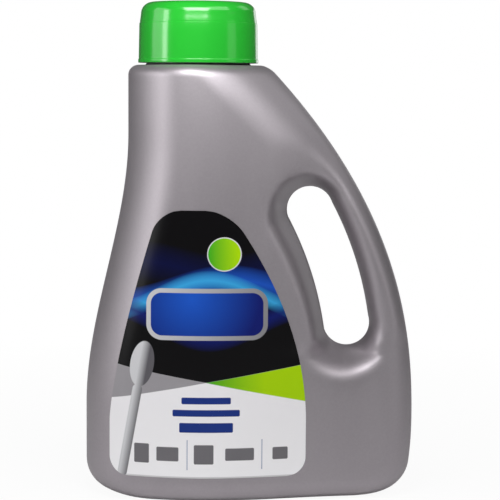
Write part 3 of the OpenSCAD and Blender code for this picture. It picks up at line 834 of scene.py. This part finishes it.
def paintRules(tree, x, z, colour):  # two thin upright lines and the thin line at the bottom
    middle = (labelPrint["ruleLow"] + labelPrint["ruleHigh"]) / 2
    half = (labelPrint["ruleHigh"] - labelPrint["ruleLow"]) / 2
    tall = maths(tree, "SUBTRACT", maths(tree, "ABSOLUTE", maths(tree, "SUBTRACT", z, middle)), half)
    for place in labelPrint["rules"]:
        aside = maths(tree, "ABSOLUTE", maths(tree, "SUBTRACT", x, place))
        thin = maths(tree, "SUBTRACT", aside, labelPrint["ruleHalf"])
        mask = within(tree, maths(tree, "MAXIMUM", thin, tall), labelPrint["edgeSoft"])
        colour = mixColour(tree, mask, colour, labelPrint["rule"])
    foot = within(tree, maths(tree, "SUBTRACT", z, labelPrint["bottomLine"]), labelPrint["bottomSoft"])
    shade = maths(tree, "MULTIPLY", foot, labelPrint["bottomShade"])
    return mixColour(tree, shade, colour, labelPrint["silverDark"])


def labelFilm():
    material, tree, shader, place = newMaterial("printed_label_film")
    split = tree.nodes.new("ShaderNodeSeparateXYZ")
    tree.links.new(place, split.inputs[0])
    x = maths(tree, "MULTIPLY", split.outputs["X"], 1 / mm)
    z = maths(tree, "MULTIPLY", split.outputs["Z"], 1 / mm)
    colour = paintSweeps(tree, x, z, labelPrint["black"])
    colour = paintBadge(tree, x, z, colour)
    colour = paintDisc(tree, x, z, colour)
    colour = paintWedges(tree, x, z, colour)
    colour = paintRules(tree, x, z, colour)
    colour = paintBars(tree, x, z, colour, labelPrint["bars"], labelPrint["ink"])
    colour = paintBars(tree, x, z, colour, labelPrint["blocks"], labelPrint["greyInk"])
    colour = paintSpoon(tree, x, z, colour)
    tree.links.new(colour, shader.inputs["Base Color"])
    shader.inputs["Roughness"].default_value = labelPrint["rough"]
    shader.inputs["Specular IOR Level"].default_value = labelPrint["shine"]
    return material


def dress(piece, material, body, node):
    piece.data.materials.clear()
    piece.data.materials.append(material)
    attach(piece, body)
    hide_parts(node)


print("making the bottle")
dress(makeBottle(), bottlePlastic(), "root", "bottle")
print("making the cap and its liner")
dress(makeCap(), capPlastic(), "screw_cap", "cap")
dress(makeLiner(), linerFoam(), "liner_carrier", "cap_liner")
print("making the label")
dress(makeLabel(), labelFilm(), "root", "front_label")

floorForm = {  # lengths in metres
    "radius": 1.2, "under": 0.0001, "segments": 96, "colour": (0.86, 0.86, 0.86, 1.0),
    "fadeStart": 0.05, "fadeEnd": 0.45, "nearGlow": 0.94, "mirrored": 0.12,
}


def makeFloor():
    bm = bmesh.new()
    bmesh.ops.create_circle(bm, cap_ends=True, segments=floorForm["segments"], radius=floorForm["radius"])
    bmesh.ops.translate(bm, verts=bm.verts, vec=(0, 0, -floorForm["under"]))
    floor = meshObject("floor", bm, 0)
    material = bpy.data.materials.new("pale_floor")
    material.use_nodes = True
    tree = material.node_tree
    tree.nodes.clear()
    matte = tree.nodes.new("ShaderNodeBsdfDiffuse")
    matte.inputs["Color"].default_value = floorForm["colour"]
    glow = tree.nodes.new("ShaderNodeEmission")
    glow.inputs["Color"].default_value = (1, 1, 1, 1)
    place = tree.nodes.new("ShaderNodeTexCoord")
    size = tree.nodes.new("ShaderNodeVectorMath")
    size.operation = "LENGTH"
    tree.links.new(place.outputs["Object"], size.inputs[0])
    span = floorForm["fadeEnd"] - floorForm["fadeStart"]
    start = -floorForm["fadeStart"] / span
    far = maths(tree, "MULTIPLY_ADD", size.outputs["Value"], 1 / span, start, clamp=True)
    far = maths(tree, "MULTIPLY_ADD", far, 1 - floorForm["nearGlow"], floorForm["nearGlow"])
    path = tree.nodes.new("ShaderNodeLightPath")
    mirrored = maths(tree, "MULTIPLY", path.outputs["Is Glossy Ray"], floorForm["mirrored"])
    shown = maths(tree, "ADD", mirrored, path.outputs["Is Camera Ray"])
    seen = maths(tree, "MULTIPLY", shown, far, clamp=True)
    blend = tree.nodes.new("ShaderNodeMixShader")
    out = tree.nodes.new("ShaderNodeOutputMaterial")
    tree.links.new(seen, blend.inputs[0])
    tree.links.new(matte.outputs[0], blend.inputs[1])
    tree.links.new(glow.outputs[0], blend.inputs[2])
    tree.links.new(blend.outputs[0], out.inputs["Surface"])
    floor.data.materials.append(material)


worldLight = {"strength": 0.09, "seen": 1.0}
lamps = {  # places in metres, powers in watts
    "leftStrip": {"place": (-0.90, -0.46, 0.32), "aim": (-0.02, 0, 0.12), "size": (0.18, 0.5), "power": 2.1},
    "leftWide": {"place": (-0.95, -0.15, 0.45), "aim": (-0.02, 0, 0.12), "size": (0.5, 0.6), "power": 1.8},
    "rightHigh": {"place": (0.55, -0.45, 0.75), "aim": (0.02, 0, 0.14), "size": (0.6, 0.5), "power": 2.8},
    "rightLow": {"place": (0.85, -0.30, 0.20), "aim": (0.02, 0, 0.12), "size": (0.3, 0.4), "power": 0.3},
    "overShoulder": {"place": (-0.02, -0.16, 0.30), "aim": (-0.02, -0.03, 0.19),
                     "size": (0.14, 0.08), "power": 0.5},
    "backRight": {"place": (0.55, 0.35, 0.6), "aim": (0.02, 0, 0.14), "size": (0.3, 0.3), "power": 0.3},
    "behind": {"place": (0.32, 0.95, 0.14), "aim": (0.03, 0, 0.11), "size": (0.3, 0.5), "power": 0.7},
}


def makeLights():
    world = bpy.data.worlds.new("studio")
    bpy.context.scene.world = world
    world.use_nodes = True
    tree = world.node_tree
    background = tree.nodes["Background"]
    background.inputs["Color"].default_value = (1, 1, 1, 1)
    path = tree.nodes.new("ShaderNodeLightPath")
    seen = maths(tree, "ADD", path.outputs["Is Camera Ray"], path.outputs["Is Transmission Ray"], clamp=True)
    dim, bright = worldLight["strength"], worldLight["seen"]
    strength = maths(tree, "MULTIPLY_ADD", seen, bright - dim, dim)
    tree.links.new(strength, background.inputs["Strength"])
    for name, setup in lamps.items():
        light = bpy.data.lights.new(name, "AREA")
        light.shape = "RECTANGLE"
        light.size, light.size_y = setup["size"]
        light.energy = setup["power"]
        lamp = bpy.data.objects.new(name, light)
        bpy.context.scene.collection.objects.link(lamp)
        place = Vector(setup["place"])
        turn = (Vector(setup["aim"]) - place).to_track_quat("-Z", "Y")
        lamp.matrix_world = Matrix.Translation(place) @ turn.to_matrix().to_4x4()
        lamp.visible_camera = False


def makeCamera():
    camera = bpy.data.cameras.new("camera")
    camera.lens = cameraSetup["lens"]
    camera.sensor_width = cameraSetup["sensor"]
    camera.sensor_height = cameraSetup["sensor"]
    camera.sensor_fit = "HORIZONTAL"
    camera.shift_x = cameraSetup["shiftX"]
    camera.shift_y = cameraSetup["shiftY"]
    camera.clip_start = cameraSetup["clipStart"]
    eye = bpy.data.objects.new("camera", camera)
    bpy.context.scene.collection.objects.link(eye)
    azimuth = math.radians(cameraSetup["azimuth"])
    place = Vector((cameraSetup["distance"] * math.sin(azimuth), -cameraSetup["distance"] * math.cos(azimuth),
                    cameraSetup["eyeHeight"]))
    aim = Vector((0, 0, cameraSetup["aimHeight"]))
    turn = (aim - place).to_track_quat("-Z", "Y").to_matrix().to_4x4()
    roll = Matrix.Rotation(math.radians(cameraSetup["roll"]), 4, "Z")
    eye.matrix_world = Matrix.Translation(place) @ turn @ roll
    bpy.context.scene.camera = eye


print("setting the stage")
makeFloor()
makeLights()
makeCamera()
bpy.context.scene.view_settings.view_transform = "Standard"
